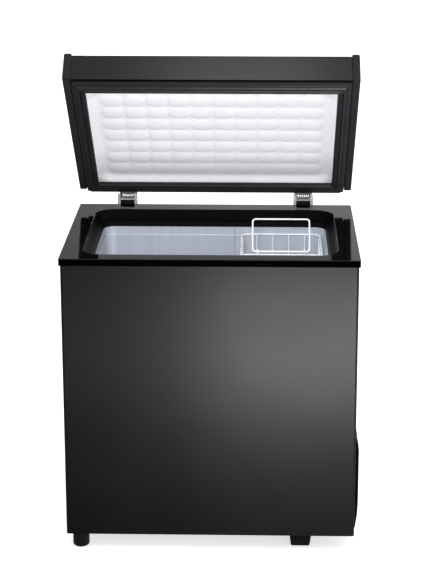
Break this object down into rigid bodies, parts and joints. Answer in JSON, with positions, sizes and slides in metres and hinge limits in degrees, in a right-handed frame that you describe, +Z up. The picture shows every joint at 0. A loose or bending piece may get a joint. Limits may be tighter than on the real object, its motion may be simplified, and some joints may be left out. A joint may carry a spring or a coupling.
{
  "type": "chest freezer",
  "caption": "Free-standing chest freezer with a hinged lid, white embossed lid liner, metal tub, sliding wire basket and rear compressor bay.",
  "frame": {"origin": "on the floor, in the middle of the whole object's footprint with the lid half open", "axes": "+Z up, the front faces -Y, +X to the right as seen from the front"},
  "size_m": [0.7564, 0.5797, 1.258],
  "materials": {
    "black_steel": "satin",
    "gloss_black": "gloss",
    "grey_black": "satin",
    "liner_metal": "satin",
    "white_plastic": "satin",
    "white_wire": "gloss",
    "zinc": "satin",
    "foam": "matte",
    "copper": "satin",
    "rubber": "matte",
    "compressor_black": "gloss",
    "grey_steel": "satin",
    "grey_plastic": "matte"
  },
  "bodies": {
    "cabinet": {"outer_wrap": "black_steel", "rear_panel": "black_steel", "base_panel": "grey_steel", "top_frame": "gloss_black", "inner_liner": "liner_metal", "cabinet_foam": "foam", "evaporator_coil": "grey_steel", "condenser_coil": "copper", "compressor_base_plate": "grey_steel", "compressor": "compressor_black", "compressor_grommet_1": "rubber", "compressor_grommet_2": "rubber", "compressor_grommet_3": "rubber", "compressor_grommet_4": "rubber", "compressor_bolt_1": "zinc", "compressor_bolt_2": "zinc", "compressor_bolt_3": "zinc", "compressor_bolt_4": "zinc", "relay_cover": "grey_plastic", "filter_drier": "copper", "suction_tube": "copper", "discharge_tube": "copper", "process_tube": "copper", "bay_cover": "black_steel", "thermostat": "grey_steel", "cord_gland": "rubber", "side_grille": "grey_black", "foot_right_front": "rubber", "foot_right_rear": "rubber", "drain_tube": "grey_plastic", "hinge_bracket_left": "zinc", "hinge_bracket_right": "zinc", "hinge_pin_left": "zinc", "hinge_pin_right": "zinc", "hinge_spring_left": "zinc", "hinge_spring_right": "zinc", "hinge_stop_left": "rubber", "hinge_stop_right": "rubber", "hinge_screw_left_1": "zinc", "hinge_screw_left_2": "zinc", "hinge_screw_right_1": "zinc", "hinge_screw_right_2": "zinc"},
    "lid": {"lid_shell": "black_steel", "lid_cap_left": "grey_black", "lid_cap_right": "grey_black", "lid_foam": "foam", "lid_inner_frame": "grey_black", "lid_gasket": "rubber", "lid_liner": "white_plastic", "hinge_arm_left": "zinc", "hinge_arm_right": "zinc"},
    "basket": {"basket": "white_wire"},
    "basket_handle": {"basket_handle": "white_wire"},
    "thermostat_knob": {"thermostat_knob": "grey_black"},
    "foot_left_front": {"foot_left_front": "rubber"},
    "foot_left_rear": {"foot_left_rear": "rubber"},
    "drain_plug": {"drain_plug": "rubber"},
    "drain_cap": {"drain_cap": "grey_plastic"}
  },
  "joints": [
    {"name": "lid_hinge", "type": "hinge", "parent": "cabinet", "child": "lid", "pos_m": [0, 0.266, 0.806], "axis": [-1, 0, 0], "range_deg": [-47.2, 30]},
    {"name": "basket_slide", "type": "slide", "parent": "cabinet", "child": "basket", "axis": [1, 0, 0], "range_m": [-0.355, 0]},
    {"name": "basket_handle_swing", "type": "hinge", "parent": "basket", "child": "basket_handle", "pos_m": [0.18, -0.021, 0.725], "axis": [1, 0, 0], "range_deg": [0, 118]},
    {"name": "thermostat_turn", "type": "hinge", "parent": "cabinet", "child": "thermostat_knob", "pos_m": [0.185, 0.2253, 0.262], "axis": [0, 1, 0], "range_deg": [-140, 140]},
    {"name": "foot_turn_front", "type": "hinge", "parent": "cabinet", "child": "foot_left_front", "pos_m": [-0.336, -0.261, 0], "axis": [0, 0, 1], "range_deg": [-180, 180]},
    {"name": "foot_turn_rear", "type": "hinge", "parent": "cabinet", "child": "foot_left_rear", "pos_m": [-0.336, 0.186, 0], "axis": [0, 0, 1], "range_deg": [-180, 180]},
    {"name": "drain_plug_pull", "type": "slide", "parent": "cabinet", "child": "drain_plug", "axis": [0, 0, 1], "range_m": [0, 0.03]},
    {"name": "drain_cap_turn", "type": "hinge", "parent": "cabinet", "child": "drain_cap", "pos_m": [-0.1, 0.011, 0.012], "axis": [0, 0, 1], "range_deg": [-90, 0]}
  ]
}
